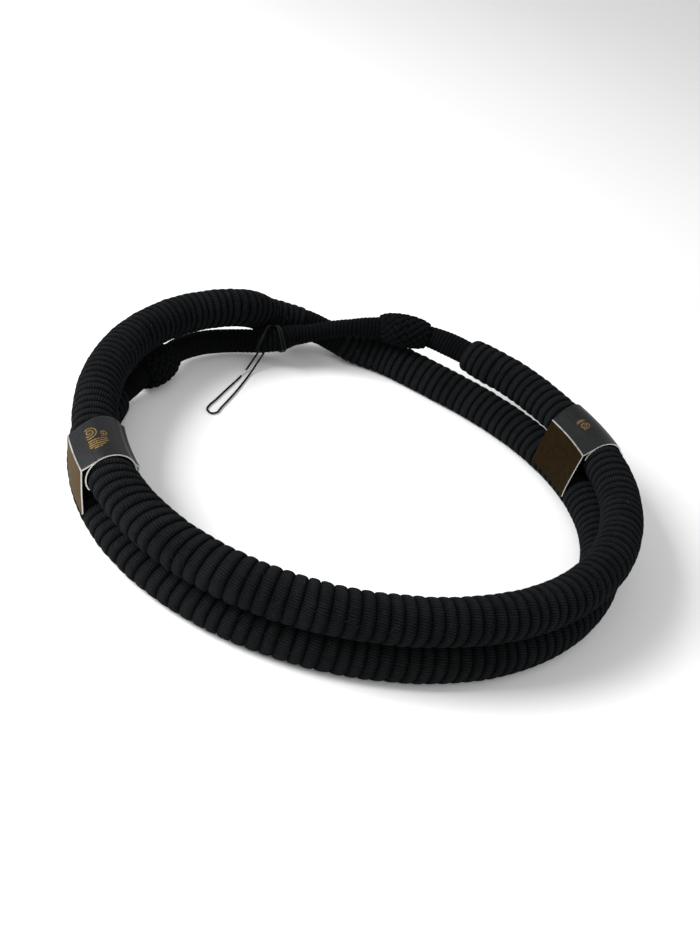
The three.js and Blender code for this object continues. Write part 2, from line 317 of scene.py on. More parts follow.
def math_node(tree, operation, a, b=None):
    """One sum on two values, each a number or the output of another node."""
    node = tree.nodes.new("ShaderNodeMath")
    node.operation = operation
    for socket, value in zip(node.inputs, (a, b)):
        if hasattr(value, "is_linked"):
            tree.links.new(value, socket)
        elif value is not None:
            socket.default_value = value
    return node.outputs[0]


def add(tree, a, b):
    return math_node(tree, "ADD", a, b)


def multiply(tree, a, b):
    return math_node(tree, "MULTIPLY", a, b)


def noise(tree, size, detail=3.0, stretch=(1, 1, 1)):
    """Noise whose blobs are about that many metres across."""
    place = tree.nodes.new("ShaderNodeTexCoord")
    scaled = tree.nodes.new("ShaderNodeMapping")
    scaled.inputs["Scale"].default_value = stretch
    texture = tree.nodes.new("ShaderNodeTexNoise")
    texture.inputs["Scale"].default_value = 1 / size
    texture.inputs["Detail"].default_value = detail
    tree.links.new(place.outputs["Object"], scaled.inputs["Vector"])
    tree.links.new(scaled.outputs["Vector"], texture.inputs["Vector"])
    return texture.outputs["Fac"]


def colour_by(tree, value, stops, socket):
    """Feeds a socket of the shader from a colour ramp through (place, colour) stops."""
    ramp = tree.nodes.new("ShaderNodeValToRGB")
    elements = ramp.color_ramp.elements
    while len(elements) < len(stops):
        elements.new(0.5)
    for element, (place, colour) in zip(elements, stops):
        element.position = place
        element.color = (*colour, 1)
    tree.links.new(value, ramp.inputs["Fac"])
    tree.links.new(ramp.outputs["Color"], socket)


def bump(tree, shader, height, distance, strength=1.0):
    """Relief from a height of 0 to 1, which stands for that distance."""
    node = tree.nodes.new("ShaderNodeBump")
    node.inputs["Distance"].default_value = distance
    node.inputs["Strength"].default_value = strength
    tree.links.new(height, node.inputs["Height"])
    tree.links.new(node.outputs["Normal"], shader.inputs["Normal"])


def grey(value):
    return (value, value, value)


print("material helpers ready")

# %% [markdown]
# Black wool isn't one black, and its colour here also holds painted light and shade. The backs
# of its threads and ribs are painted a dark blue-grey, as where light reaches them, and the
# grooves between threads and between ribs are painted black, as shade. The fine threads are
# drawn from the UV map, because object coordinates can't follow a helix, and noise of four
# sizes breaks up their regularity. A trace of sheen stands for the halo of fibres.

# %% Wound wool, coarse and fine
# The first colour is painted shade: the black painted into the grooves between threads and ribs.
PAINTED_GROOVE_SHADE = (0.0004, 0.0004, 0.0005)
HALO_TINT = (0.75, 0.82, 1.0, 1)


def round_thread(tree, count):
    """0 between two threads and 1 on the back of each, where count counts the threads."""
    part = math_node(tree, "FRACT", count)
    centred = math_node(tree, "SUBTRACT", multiply(tree, part, 2), 1)
    return math_node(tree, "SUBTRACT", 1, multiply(tree, centred, centred))


def wound_wool(name, lightest, slant, thread_height):
    """Wool whose threads cross each rib. slant is how many threads one crosses on its way."""
    material, tree, shader = new_material(name, Roughness=0.92, Specular_IOR_Level=0.02,
                                          Sheen_Weight=0.01, Sheen_Roughness=0.5, Sheen_Tint=HALO_TINT)
    winding = tree.nodes.new("ShaderNodeUVMap")
    winding.uv_map = "winding"
    parts = tree.nodes.new("ShaderNodeSeparateXYZ")
    tree.links.new(winding.outputs["UV"], parts.inputs["Vector"])
    round_piece, across_rib = parts.outputs["X"], parts.outputs["Y"]

    fuzz = noise(tree, 0.45 * MM, 4.0)
    wander = multiply(tree, noise(tree, 2.5 * MM, 1.0), 0.9)
    blotch = multiply(tree, noise(tree, 14 * MM, 2.0), 0.5)
    speck = multiply(tree, noise(tree, 2.2 * MM, 3.0), 0.55)

    count = add(tree, add(tree, round_piece, wander), multiply(tree, across_rib, slant))
    threads = round_thread(tree, count)
    rib = round_thread(tree, across_rib)
    # Painted light and shade: thread and rib backs come out lighter, grooves darker, mixed with random tone
    # from the noise.
    thread_shade_and_fuzz = add(tree, multiply(tree, threads, 0.55), fuzz)
    shade = add(tree, multiply(tree, rib, 0.5), 0.3)
    patch = add(tree, add(tree, blotch, speck), 0.45)
    light = multiply(tree, multiply(tree, thread_shade_and_fuzz, shade), patch)
    colour_by(tree, light, [
        (0.05, PAINTED_GROOVE_SHADE),
        (0.45, tuple(0.28 * c for c in lightest)),
        (0.85, lightest),
    ], shader.inputs["Base Color"])
    bump(tree, shader, add(tree, threads, multiply(tree, fuzz, 0.9)), thread_height)
    return material


coarse_wool = wound_wool("coarse_wool", (0.0082, 0.0096, 0.0100), 0.8, 0.24 * MM)
fine_wool = wound_wool("fine_wool", (0.0042, 0.0048, 0.0052), 0.9, 0.12 * MM)
braid_wool = wound_wool("braid_wool", (0.0046, 0.0051, 0.0055), 0.5, 0.12 * MM)
print("wool:", coarse_wool.name, fine_wool.name, braid_wool.name)

# %% [markdown]
# Now the thick rope. It is wound with a cord as wide as one rib, so the ribs are one long
# helix and not a row of rings. A bevelled curve wound round a tube would need millions of
# faces. Instead the grid of the tube itself is sheared by one rib for each turn: its rows
# then run along the grooves, and the radius follows the rib's rounded back.

# %% Ribs
THREAD_OFFSET = 0.37


def rib_back(share, sharpness):
    """Height of a rib from 0 in the groove to 1 on its back, share 0 to 1 across it."""
    return (1 - np.abs(2 * share - 1) ** sharpness) ** (1 / sharpness)


def count_ribs(start, end, pitch_at):
    """Places along the piece, the ribs counted up to each, and their whole number."""
    places = np.linspace(start, end, 2000)
    counted = np.concatenate(([0], np.cumsum(np.diff(places) / pitch_at(places[1:]))))
    ribs = max(2, round(counted[-1]))
    return places, counted * (ribs / counted[-1]), ribs


def rib_uv(grid_rows, around, across, threads):
    """The winding map of a piece. across is how far across its rib each row lies, from 0 to 1. The
    threads of each rib start a little further round than those of the last one."""
    rows = len(across)
    i, j = np.meshgrid(np.arange(grid_rows - 1), np.arange(around), indexing="ij")
    rib = np.clip((i - 1) // rows, 0, None)
    low = np.where(i == 0, 0, across[(i - 1) % rows])
    top = np.where((i - 1) % rows == rows - 1, 1, across[i % rows])
    here = threads * j / around + THREAD_OFFSET * rib
    there = here + threads / around
    return corner_uv([(here, top), (there, top), (there, low), (here, low)])


print("a rib's back, from groove to groove:", np.round(rib_back(np.linspace(0, 1, 7), 2.4), 2))

# %% [markdown]
# Hand winding is never even, so each rib gets its own small shift along the rope and its
# own thickness, and on some stretches the ribs lean over. Noise on the finished mesh would
# roughen the ribs themselves, so the unevenness goes in per rib, from a seeded random
# generator. What would reach below the table is pressed flat on it.

# %% A wound piece
SEAM_ANGLE = math.radians(-110)
LEAN_ANGLE = math.radians(150)
LEAN_FADE = 12 * MM
rng = np.random.default_rng(7)


def no_lean(length):
    return 0.0


def wound_piece(name, start, end, pitch_at, radius_at, depth, rows, around, thread_width,
                sharpness, unevenness, wander, lean_at=no_lean):
    """A rope with one helical rib. radius_at gives the radius over its ribs at any length."""
    places, counted, ribs = count_ribs(start, end, pitch_at)
    rib_ends = np.arange(ribs + 2)
    across = 0.5 - 0.5 * np.cos(np.pi * np.arange(rows) / rows)
    row = np.arange((ribs - 1) * rows + 1)
    turned = np.arange(around + 1) / around
    count = (row // rows + across[row % rows])[:, None] + turned

    shift = np.interp(count, rib_ends, rng.uniform(-1, 1, ribs + 2)) * wander
    shift *= np.clip(count, 0, 1) * np.clip(ribs - count, 0, 1)
    length = np.interp(count + shift, counted, places)
    uneven = np.interp(count, rib_ends, rng.uniform(-1, 1, ribs + 2)) * unevenness
    back = rib_back(across[row % rows], sharpness)[:, None]
    radius = radius_at(length) + uneven - depth * (1 - back)
    angle = SEAM_ANGLE - 2 * math.pi * turned
    near_end = np.clip(np.minimum(length - start, end - length) / LEAN_FADE, 0, 1)
    length = length - lean_at(length) * radius * np.cos(angle - LEAN_ANGLE) * near_end

    core = 0.5 * np.min(radius)
    points = np.vstack((
        on_rope(length[0], angle, core)[None],
        on_rope(length, angle, radius),
        on_rope(length[-1], angle, core)[None],
    ))
    points[..., 2] = np.maximum(points[..., 2], 0.0)
    quads = grid_quads(len(points), around + 1)[:, ::-1]
    threads = 2 * math.pi * float(np.mean(radius)) / thread_width
    piece = mesh_object(name, points, quads, rib_uv(len(points), around, across, threads))
    print(name, "has", ribs, "turns and", 2 * len(quads), "triangles")
    return piece


print("each seam is at", round(math.degrees(SEAM_ANGLE)), "degrees, under the rope")

# %% [markdown]
# The ribs of the thick rope aren't all alike: they are widest in front and narrowest by
# the waist behind, and they lean over on some stretches. One pitch would look like a
# machine's work, so both the width and the lean follow short tables over the turn. The
# widths are in mm, and the leans are shares of the rope's radius.

# %% The two thick ropes
RIB_PITCHES = [
    (72, 3.4), (30, 3.6), (-20, 3.62), (-60, 3.75), (-80, 3.9), (-125, 3.7), (-150, 3.45), (-185, 3.25),
    (-248, 2.9), (-300, 3.5), (-360, 3.6), (-400, 3.62), (-440, 3.9), (-485, 3.75), (-510, 3.5), (-543, 3.4),
]
RIB_LEANS = [
    (72, 0), (0, 0), (-60, -0.05), (-85, -0.14), (-105, -0.04), (-122, 0.16), (-140, 0.26), (-160, 0.06),
    (-250, 0), (-420, -0.05), (-450, -0.1), (-470, 0.02), (-490, 0.18), (-505, 0.2), (-543, 0),
]
GAP = 0.3 * MM
WAIST_DIAMETER = 11.0 * MM
WAIST_END = 12.1 * MM
NECK_DIAMETER = 9.4 * MM
ROPE_MOUTH = 11.6 * MM
waist_start, waist_end, lower_end = (length_at(turn) for turn in (-248, -257, -543))


def by_turn(rows, scale=1.0):
    """A function of the length along the rope, from rows of a turn and the value there."""
    places = [length_at(turn) for turn, _ in rows]
    values = np.array([value for _, value in rows]) * scale
    return lambda length: np.interp(length, places, values)


def rope_radius(start, end, start_shape, end_shape):
    """Full size, narrowing towards each end. A shape is the end's diameter and its shoulder."""
    def radius_at(length):
        from_start = np.exp(-(length - start) / start_shape[1]) * (ROPE_DIAMETER - start_shape[0]) / 2
        from_end = np.exp(-(end - length) / end_shape[1]) * (ROPE_DIAMETER - end_shape[0]) / 2
        return ROPE_DIAMETER / 2 - from_start - from_end
    return radius_at


at_neck = (ROPE_MOUTH, 2.4 * MM)
at_waist = (WAIST_END, 8 * MM)
thick_parts = [
    ("rope_upper", 0, waist_start, at_neck, at_waist),
    ("rope_lower", waist_end, lower_end, at_waist, at_neck),
]
for node, start, end, start_shape, end_shape in thick_parts:
    rope = wound_piece(f"wound_{node}", start + GAP / 2, end - GAP / 2, by_turn(RIB_PITCHES, MM),
                       rope_radius(start, end, start_shape, end_shape), depth=1.0 * MM, rows=12,
                       around=44, thread_width=0.78 * MM, sharpness=2.4, unevenness=0.1 * MM,
                       wander=0.09, lean_at=by_turn(RIB_LEANS))
    rope.data.materials.append(coarse_wool)
    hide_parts(node)

# %% [markdown]
# Between the thick ropes the cord is bound with a thin thread. The same winding makes it,
# with a smaller pitch and a shallow groove: the waist behind, the two necks and the link
# that carries the hitch. A helix ends raggedly, so each piece runs on for a few millimetres
# under its neighbours and thins out there.

# %% The finely wound pieces
KNOT_DIAMETER = 12.8 * MM
KNOT_LENGTH = 18.8 * MM
KNOT_MOUTH = 0.66
KNOT_END = KNOT_DIAMETER * KNOT_MOUTH
LINK_DIAMETER = 9.1 * MM
LINK_THIN = 6.7 * MM
FINE_PITCH = 1.55 * MM
UNDER_TAPER = 0.15
UNDER_SHOULDER = 4.4 * MM
UNDER_MOUTH = 3.9 * MM
UNDER_KNOT = 2 * MM


def even_radius(start, end, diameters):
    """Radius along a piece whose diameters are spread evenly over its length. It shrinks past its ends."""
    places = np.linspace(start, end, len(diameters))

    def radius_at(length):
        past = np.maximum(start - length, 0) + np.maximum(length - end, 0)
        return np.interp(length, places, np.array(diameters) / 2) - UNDER_TAPER * past
    return radius_at


def fine_pitch_at(length):
    return np.full_like(length, FINE_PITCH)


knot_left, knot_right = (length_at(turn) for turn in (-560.7, -631.6))
link_from, link_to = knot_left + KNOT_LENGTH / 2, knot_right - KNOT_LENGTH / 2
link_shape = [KNOT_END] + 4 * [LINK_DIAMETER] + 2 * [LINK_THIN] + [KNOT_END]
waist_shape = [WAIST_END, WAIST_DIAMETER, WAIST_END]
neck_shape = [NECK_DIAMETER, NECK_DIAMETER, KNOT_END]
link_radius = even_radius(link_from, link_to, link_shape)
fine_parts = [
    ("waist", waist_start, waist_end, waist_shape, UNDER_SHOULDER, UNDER_SHOULDER),
    ("neck_left", lower_end, knot_left - KNOT_LENGTH / 2, neck_shape, UNDER_MOUTH, UNDER_KNOT),
    ("link", link_from, link_to, link_shape, UNDER_KNOT, UNDER_KNOT),
    ("neck_right", knot_right + KNOT_LENGTH / 2, loop_length[-1], neck_shape[::-1], UNDER_KNOT, UNDER_MOUTH),
]
for node, start, end, diameters, under_start, under_end in fine_parts:
    bound = wound_piece(f"wound_{node}", start - under_start, end + under_end, fine_pitch_at,
                        even_radius(start, end, diameters), depth=0.3 * MM, rows=7, around=32,
                        thread_width=0.62 * MM, sharpness=2.0, unevenness=0.04 * MM, wander=0.05)
    bound.data.materials.append(fine_wool)
    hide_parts(node)

# %% [markdown]
# A braided knot sits at each end of the link. Its strands run round a long ball in two
# directions and pass over and under each other in turn. A bumpy ball with a pattern would
# lose the gaps at its outline, so the strands are real. Each is a flat tube whose distance
# from the middle goes up and down once for every two crossings, and the two directions do
# it in opposite time, which is all that a plain braid is. A core closes the small holes.

# %% The braided knots
STRANDS = 12
STRAND_STEPS = 72
STRAND_SIDES = 8
STRAND_WIDTH = 2.15 * MM
STRAND_THICKNESS = 1.25 * MM
STRAND_MARGIN = 0.012
KNOT_TURN = math.radians(172)
WEAVE_HEIGHT = 0.36 * MM
THREADS_A_STEP = 0.45
CORE_ROWS = 25
CORE_SIDES = 24
CORE_DEPTH = 1.1 * MM


def knot_swell(share):
    """How thick the knot is from one end, share 0, to the other, as a share of its full size."""
    return KNOT_MOUTH + (1 - KNOT_MOUTH) * np.sqrt(np.clip(np.sin(np.pi * share), 0, 1))


def braid_strand(middle, first_angle, hand):
    """Points of one strand of the braid, as rows of corners round its centre line."""
    share = np.linspace(STRAND_MARGIN, 1 - STRAND_MARGIN, STRAND_STEPS)
    length = middle + KNOT_LENGTH * (share - 0.5)
    angle = first_angle + hand * KNOT_TURN * share
    weave = hand * WEAVE_HEIGHT * np.cos(KNOT_TURN * STRANDS * share)
    radius = (KNOT_DIAMETER / 2 - STRAND_THICKNESS / 2 - 0.1 * MM) * knot_swell(share) + weave
    centre = on_rope(length, angle, radius)
    outside = unit(centre - frame_at(length)[0])
    direction = unit(np.gradient(centre, axis=0))
    across = unit(np.cross(direction, outside))
    outside = np.cross(across, direction)
    corner = np.arange(STRAND_SIDES) * 2 * math.pi / STRAND_SIDES
    flat = STRAND_WIDTH / 2 * np.cos(corner)
    thick = STRAND_THICKNESS / 2 * np.sin(corner)
    return centre[:, None] + across[:, None] * flat[:, None] + outside[:, None] * thick[:, None]


def strand_uv():
    """Two ribs round each strand, and its fine threads counted along it."""
    step, side = np.meshgrid(np.arange(STRAND_STEPS - 1), np.arange(STRAND_SIDES), indexing="ij")
    here, there = step * THREADS_A_STEP, (step + 1) * THREADS_A_STEP
    near, far = side / STRAND_SIDES * 2, (side + 1) / STRAND_SIDES * 2
    return corner_uv([(here, near), (here, far), (there, far), (there, near)]).reshape(-1, 2)


def braided_knot(name, middle):
    """Strands of both directions, with the core inside them."""
    share = np.linspace(0, 1, CORE_ROWS)
    angle = np.linspace(0, 2 * math.pi, CORE_SIDES, endpoint=False)
    radius = (KNOT_DIAMETER / 2 - CORE_DEPTH) * knot_swell(share)
    core = on_rope((middle + KNOT_LENGTH * (share - 0.5))[:, None], angle, radius[:, None])
    first_angles = [2 * math.pi * i / STRANDS for i in range(STRANDS)]
    grids = [braid_strand(middle, first, hand) for hand in (1, -1) for first in first_angles]
    grids.append(core)
    quads = quads_of_grids(grids, around=True)
    quads[-1] = quads[-1][:, ::-1]
    uv = np.vstack([strand_uv()] * (2 * STRANDS) + [np.zeros((len(quads[-1]) * 4, 2))])
    knot = mesh_object(name, np.vstack([grid.reshape(-1, 3) for grid in grids]), np.vstack(quads), uv)
    print(name, "has", 2 * STRANDS, "strands and", 2 * len(knot.data.polygons), "triangles")
    return knot


for node, middle in (("knot_left", knot_left), ("knot_right", knot_right)):
    knot = braided_knot(f"braided_{node}", middle)
    knot.data.materials.append(braid_wool)
    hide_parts(node)

# %% [markdown]
# The thread is fixed to the link with a hitch: its two ends come over the link from
# behind and slant to the left, two turns slant to the right, and a short bridge joins them
# underneath. The turns are circles round the link whose place along it changes with the
# angle, so the thread can't leave the surface, apart from a slack arch over the top.

# %% The hitch
hitch_middle = length_at(-599.2) - 3.7 * MM
HITCH_TOP = math.radians(60)
HITCH_BACK = math.radians(200)
HITCH_UNDER = math.radians(292)
ARCH_ANGLE = math.radians(112)
ARCH_SPREAD = math.radians(30)
ARCH_HEIGHT = 2.2 * MM


def over_link(place, angle, lift=0.5):
    """Points on the link, place along it from the hitch. lift is their height in thread thicknesses."""
    length = hitch_middle + place
    arch = ARCH_HEIGHT * np.exp(-((angle - ARCH_ANGLE) / ARCH_SPREAD) ** 2)
    return on_rope(length, angle, link_radius(length) + THREAD_DIAMETER * lift + arch)


def hitch_turn(at_top, at_bottom):
    """One turn of thread. Its place along the link goes from at_top to at_bottom and back."""
    angle = HITCH_TOP + np.linspace(0, 2 * math.pi, 49)
    share = 0.5 - 0.5 * np.cos(angle - HITCH_TOP)
    return over_link(at_top + (at_bottom - at_top) * share, angle)


def hitch_tail(at_top, at_bottom, thread_end, thread_next):
    """From behind the link over its front, down to where the loose thread starts."""
    angle = np.radians([-60, -20, 20, 60, 95, 130, 165, 200])
    share = np.clip((angle - HITCH_TOP) / (HITCH_BACK - HITCH_TOP), 0, 1) ** 0.8
    upper = over_link(at_top + (at_bottom - at_top) * share, angle)
    return smooth_line(np.vstack((upper, thread_end, thread_next)), False, 8)


hitch_lines = [
    hitch_tail(1.4 * MM, -4.9 * MM, thread_line[0], thread_line[3]),
    hitch_tail(0.6 * MM, -4.1 * MM, thread_line[-1], thread_line[-4]),
    hitch_turn(1.9 * MM, 3.3 * MM),
    hitch_turn(2.6 * MM, 4.3 * MM),
    over_link(np.linspace(-2, 4, 25) * MM, HITCH_UNDER, 1.2),
]
hitch_strands = []
for i, line in enumerate(hitch_lines):
    strand = tube(f"hitch_strand_{i + 1}", line, THREAD_DIAMETER / 2)
    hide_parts("thread_hitch")
    hitch_strands.append(strand)
print("hitch strands:", len(hitch_strands))

# %% [markdown]
# The thread is waxed, so it is smoother than wool and a little glossy. Its pale stretch is
# drawn with the finish of bare pale fibre, as is the inside of card where a knife has cut it.
# Each could have its own shader, but they look the same at this size, so one function makes both.

# %% Waxed thread and pale fibres
def waxed_thread():
    material, tree, shader = new_material("waxed_thread", Roughness=0.7, Specular_IOR_Level=0.15)
    fibres = noise(tree, 0.25 * MM, 3.0)
    stops = [(0.3, (0.001, 0.001, 0.0012)), (0.75, (0.006, 0.006, 0.007))]
    colour_by(tree, fibres, stops, shader.inputs["Base Color"])
    bump(tree, shader, fibres, 0.05 * MM)
    return material


def pale_fibres(name):
    """Bare paper fibres, as where card is cut, also used for the pale stretch of the thread."""
    material, tree, shader = new_material(name, Roughness=0.85)
    fibres = noise(tree, 0.3 * MM, 3.0)
    colour_by(tree, fibres, [(0.3, (0.62, 0.6, 0.56)), (0.7, (0.9, 0.89, 0.86))], shader.inputs["Base Color"])
    bump(tree, shader, fibres, 0.04 * MM)
    return material


thread_finish = waxed_thread()
for strand in hitch_strands + [hang_thread]:
    strand.data.materials.append(thread_finish)
pale_thread_stretch.data.materials.append(pale_fibres("pale_stretch_finish"))
print("thread finish on", len(hitch_strands) + 1, "pieces")

# %% [markdown]
# Each label is thin card, printed black on top and brown on its flaps, with white where
# the knife cut it and grey where a fold has worn the print. Print is smooth but never
# flat, so each finish is mottled, scuffed and slightly wavy.

# %% Card finishes
def printed_card(name, dark, light, gloss, shine=0.04):
    """Coated card. gloss is the roughness where it isn't scuffed, and shine how much it mirrors."""
    material, tree, shader = new_material(name, Specular_IOR_Level=shine)
    mottle = noise(tree, 2.2 * MM, 4.0)
    scuff = noise(tree, 0.5 * MM, 5.0, (1, 1, 0.25))
    colour_by(tree, mottle, [(0.25, dark), (0.75, light)], shader.inputs["Base Color"])
    colour_by(tree, scuff, [(0.35, grey(gloss)), (0.8, grey(gloss + 0.18))], shader.inputs["Roughness"])
    waves = multiply(tree, noise(tree, 7 * MM, 1.0), 3.0)
    bump(tree, shader, add(tree, waves, scuff), 0.05 * MM, 0.6)
    return material


black_card = printed_card("black_card", (0.0035, 0.0038, 0.004), (0.007, 0.0075, 0.008), 0.32, 0.17)
# The flaps' brown is one card in two copies: this lighter one as it looks where lit, and the next, darker one
# with painted shade.
lit_brown_card = printed_card("brown_card_lit_copy", (0.038, 0.0235, 0.0092), (0.056, 0.036, 0.0145), 0.6, 0.03)
brown_card_painted_shade = printed_card("brown_card_painted_shade", (0.0075, 0.0043, 0.0013), (0.0125, 0.0075, 0.0023),
                               0.6, 0.02)
card_back = printed_card("card_back", (0.42, 0.38, 0.3), (0.52, 0.48, 0.4), 0.7)
worn_fold = printed_card("worn_fold", (0.10, 0.10, 0.095), (0.30, 0.30, 0.28), 0.6)
card_edge = pale_fibres("card_cut_edge")
print("card finishes:", black_card.name, lit_brown_card.name, brown_card_painted_shade.name, card_edge.name)

# %% [markdown]
# A label was bent over the rope by hand, so its two cut ends are neither square nor
# parallel. A solidified sheet would give every edge one material. The card is built
# instead as a bent outline with a thickness, swept along the rope, and its cut faces get
# their own material slot. A narrow bevel keeps the cut corners from looking sharp.

# %% A sheet of card, swept along the rope
CARD_THICKNESS = 0.45 * MM
CARD_ROWS = 30
CORNER_ROUNDING = 0.05 * MM
SLEEVE_LENGTH = 22 * MM
SLEEVE_RADIUS = 7.62 * MM
WIDE = 9.35 * MM
TIGHT = 8.2 * MM


def card_points(turn, outline, shifts):
    """The outline in rows along the rope. shifts moves its ends, in mm, as the table of labels says."""
    share = np.linspace(0, 1, CARD_ROWS)[:, None]
    outside = np.clip(0.5 + outline[None, :, 0] / (2 * WIDE), 0, 1)
    first = (shifts[0] + (shifts[1] - shifts[0]) * outside) * MM
    other = (shifts[2] + (shifts[3] - shifts[2]) * outside) * MM
    length = length_at(turn) + SLEEVE_LENGTH * (share - 0.5) + first * (1 - share) + other * share
    centre, outward, up, _ = frame_at(length)
    return centre + outward * outline[None, :, :1] + up * outline[None, :, 1:]


def swept_card(name, turn, fold_line, shifts, finishes, change=None):
    """Sweeps an open line of (outward, up) points with the card's thickness. The left of the line is
    its face. finishes are one material for the face, or two and the fold where they meet, at the
    point change, then the back and the cut edge."""
    direction = unit(np.gradient(fold_line, axis=0))
    normal = np.column_stack((-direction[:, 1], direction[:, 0])) * CARD_THICKNESS / 2
    outline = np.vstack((fold_line + normal, (fold_line - normal)[::-1]))
    points = card_points(turn, outline, shifts)
    corners = len(outline)
    half = len(fold_line)
    ends = np.array([(i, i + 1, corners - 2 - i, corners - 1 - i) for i in range(half - 1)])
    quads = np.vstack((grid_quads(CARD_ROWS, corners, around=True), ends[:, ::-1],
                       (CARD_ROWS - 1) * corners + ends))

    edge = len(finishes) - 1
    back = edge - 1
    fold = edge - 2
    ring = np.full(corners, back)
    ring[:half - 1] = 0
    if change is not None:
        ring[change:half - 1] = 1
        ring[change - 1:change + 1] = fold
    ring[[half - 1, corners - 1]] = edge
    kind = np.concatenate((np.tile(ring, CARD_ROWS - 1), np.full(2 * len(ends), edge)))

    card = mesh_object(name, points, quads)
    for material in finishes:
        card.data.materials.append(material)
    card.data.polygons.foreach_set("material_index", kind.astype(np.int32))
    card.data.polygons.foreach_set("use_smooth", kind != edge)
    bevel = card.modifiers.new("soft_edges", "BEVEL")
    bevel.width = CORNER_ROUNDING
    bevel.segments = 2
    bevel.limit_method = "ANGLE"
    bevel.angle_limit = math.radians(50)
    return card


print("card is", round(CARD_THICKNESS / MM, 2), "mm thick")

# %% [markdown]
# A label has a sleeve that hugs the rope, with its lips curled in underneath, and on each
# side a flap: a short roof from the sleeve's shoulder to a fold, then a flat wall down
# beside both ropes. Bend modifiers could fold a flat sheet, but a line drawn across the
# rope, outward and up, shows at once where each fold is.

# %% The lines of a sleeve and a flap
SLEEVE_POINTS = 61
LIP_FROM_TOP = math.radians(108)
LIP_SPAN = math.radians(20)
LIP_CURL = 0.12 * MM
ROOF_POINTS = 9
CREASE = 0.25 * MM
FLAP_TOP = 2.5 * MM
FLAP_CLEARANCE = 0.3 * MM
FLAP_SLOPE = 3.5 * MM
FLAP_BULGE = 0.12 * MM
TOUCH_HEIGHT = 1.5 * MM
WIDE_SHOULDER = math.radians(50)
TIGHT_SHOULDER = math.radians(30)


def sleeve_line(outer_lip, inner_lip):
    """Round the rope from its inner lip over the top. The lips are in degrees under the rope's middle."""
    angles = np.radians(np.linspace(-outer_lip, 180 + inner_lip, SLEEVE_POINTS))
    lip = np.clip((np.abs(angles - math.pi / 2) - LIP_FROM_TOP) / LIP_SPAN, 0, 1)
    radius = SLEEVE_RADIUS - LIP_CURL * lip ** 2
    return np.column_stack((radius * np.cos(angles), radius * np.sin(angles)))[::-1]


def flap_line(turn, hand, reach, bottom_height):
    """From the sleeve's shoulder over the fold, reach out, and down to the flap's lower edge."""
    upper, outward, _, _ = frame_at(length_at(turn))
    lower = frame_at(length_at(turn - 360))[0]
    lower_across = float(np.dot(lower - upper, outward)) * hand
    lower_height = float(lower[2] - upper[2])
    low_reach = max(lower_across + ROPE_DIAMETER / 2 + FLAP_CLEARANCE, reach - FLAP_SLOPE)
    top = np.array([reach, FLAP_TOP])
    touch = np.array([low_reach, lower_height + TOUCH_HEIGHT])
    bottom = np.array([low_reach - 0.05 * MM, bottom_height - float(upper[2])])

    angle = WIDE_SHOULDER if reach == WIDE else TIGHT_SHOULDER
    shoulder = SLEEVE_RADIUS * np.array([math.cos(angle), math.sin(angle)])
    roof_way = unit(top - shoulder)
    wall_way = unit(touch - top)
    roof = shoulder + (top - shoulder) * np.linspace(0, 1, ROOF_POINTS)[:, None]
    roof[-1] = top - roof_way * CREASE
    bend = np.array([
        top - roof_way * CREASE * 0.3 + wall_way * CREASE * 0.08,
        top + wall_way * CREASE * 0.5,
    ])
    wall_top = top + wall_way * CREASE * 1.4
    wall_middle = (top + touch) / 2 + [FLAP_BULGE, 0]
    wall = smooth_line(np.vstack((wall_top, wall_middle, touch, bottom)), False, 5)
    line = np.vstack((roof, bend, wall))
    line[:, 0] *= hand
    return line


print("a sleeve's line is", round(length_along(sleeve_line(38, 38))[-1] / MM, 1), "mm long")

# %% [markdown]
# The two labels differ: which flap stands off the rope, how far the lips go under, how
# low the flaps hang and which copy of the one brown card their flaps get: the lighter copy
# as lit, or the darker copy with painted shade. Those are the rows of a table. Its shifts
# are in mm along the rope, for the first end inside the ring and outside it, and then for
# the other end inside and outside.

# %% The labels
LABELS = {
    "label_right": {
        "turn": 31.2, "outer": TIGHT, "inner": WIDE, "lips": (38, -4),
        # The right label's flaps get the darker copy of the brown card, which is painted shade.
        "shifts": (-1.3, -3.0, 1.8, -0.9), "bottom": 5.2 * MM, "brown": brown_card_painted_shade,
    },
    "label_left": {
        "turn": -145.0, "outer": WIDE, "inner": TIGHT, "lips": (38, 38),
        "shifts": (0.8, 1.5, 1.6, -4.6), "bottom": 7.3 * MM, "brown": lit_brown_card,
    },
}


def dress_flap(label, row, side, hand):
    """One flap. Its roof is black and its wall brown, and the inner flap is drawn from below."""
    line = flap_line(row["turn"], hand, row[side], row["bottom"])
    faces = (black_card, row["brown"])
    change = ROOF_POINTS
    if side == "inner":
        line = line[::-1]
        faces = faces[::-1]
        change = len(line) - 1 - ROOF_POINTS
    flap = swept_card(f"card_{label}_flap_{side}", row["turn"], line, row["shifts"],
                      (*faces, worn_fold, card_back, card_edge), change)
    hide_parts(f"{label}_flap_{side}")


for label, row in LABELS.items():
    sleeve = swept_card(f"card_{label}_sleeve", row["turn"], sleeve_line(*row["lips"]), row["shifts"],
                        (black_card, card_back, card_edge))
    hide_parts(f"{label}_sleeve")
    dress_flap(label, row, "outer", 1)
    dress_flap(label, row, "inner", -1)
print("labels dressed:", len(LABELS))

# %% [markdown]
# A small gold ornament is stamped on the top of each label. It is a plain scroll with a
# few bars under it, of no maker's design. Drawn as thin ribbons that follow the bent card,
# it catches the light as foil does, which a colour in the card's shader wouldn't.

# %% The gold ornament
FOIL_HEIGHT = 0.03 * MM


